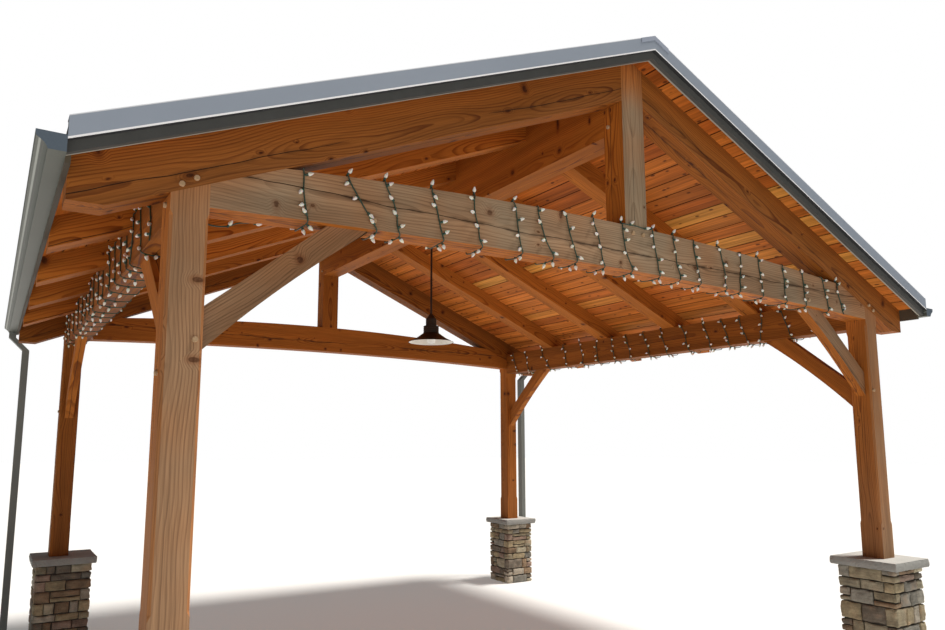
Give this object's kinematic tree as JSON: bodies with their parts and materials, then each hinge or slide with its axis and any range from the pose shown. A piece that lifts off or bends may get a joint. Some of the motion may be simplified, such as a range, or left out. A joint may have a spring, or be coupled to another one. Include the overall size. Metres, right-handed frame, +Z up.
{
  "type": "porte cochere",
  "caption": "Gabled timber-frame porte cochere on stone piers, with cambered ties, king posts, knee braces, a boarded deck under a seamed metal roof, gutters and a pendant lamp.",
  "frame": {"origin": "on the ground in the middle of the plan, under the middle of the ridge", "axes": "+Z up; X runs level across the gable, along the drive; Y runs along the ridge, from the open gable end at -Y to the house side at +Y"},
  "size_m": [6.512, 5.34, 4.3055],
  "materials": {
    "fir_timber": "satin",
    "deck_boards": "satin",
    "ledge_stone": "matte",
    "cap_stone": "matte",
    "roof_metal": "satin",
    "trim_metal": "satin",
    "painted_board": "matte",
    "fascia_board": "matte",
    "gutter_metal": "satin",
    "lamp_metal": "satin",
    "bulb_glass": "satin",
    "string_wire": "matte"
  },
  "bodies": {
    "root": {"brace_tie_left": "fir_timber", "brace_tie_right": "fir_timber", "common_rafters_left": "fir_timber", "common_rafters_right": "fir_timber", "deck_left": "deck_boards", "deck_right": "deck_boards", "downspouts": "gutter_metal", "eave_fascias": "fascia_board", "gutter_left": "gutter_metal", "gutter_right": "gutter_metal", "king_post_front": "fir_timber", "king_post_rear": "fir_timber", "light_string_left": "string_wire", "light_string_right": "string_wire", "light_string_tie": "string_wire", "pendant_bulb": "bulb_glass", "pendant_rod": "lamp_metal", "pendant_shade": "lamp_metal", "pier_caps": "cap_stone", "pier_front_left": "ledge_stone", "pier_front_right": "ledge_stone", "pier_rear_left": "ledge_stone", "pier_rear_right": "ledge_stone", "plate_braces_left": "fir_timber", "plate_braces_right": "fir_timber", "plates": "fir_timber", "post_front_left": "fir_timber", "post_front_right": "fir_timber", "post_rear_left": "fir_timber", "post_rear_right": "fir_timber", "rafter_front_left": "fir_timber", "rafter_front_right": "fir_timber", "rafter_rear_left": "fir_timber", "rafter_rear_right": "fir_timber", "rake_boards_left": "painted_board", "rake_boards_right": "painted_board", "rake_trims_left": "trim_metal", "rake_trims_right": "trim_metal", "ridge_beam": "fir_timber", "ridge_cap": "trim_metal", "roof_sheet_left": "roof_metal", "roof_sheet_right": "roof_metal", "tie_front": "fir_timber", "tie_rear": "fir_timber"}
  },
  "joints": []
}
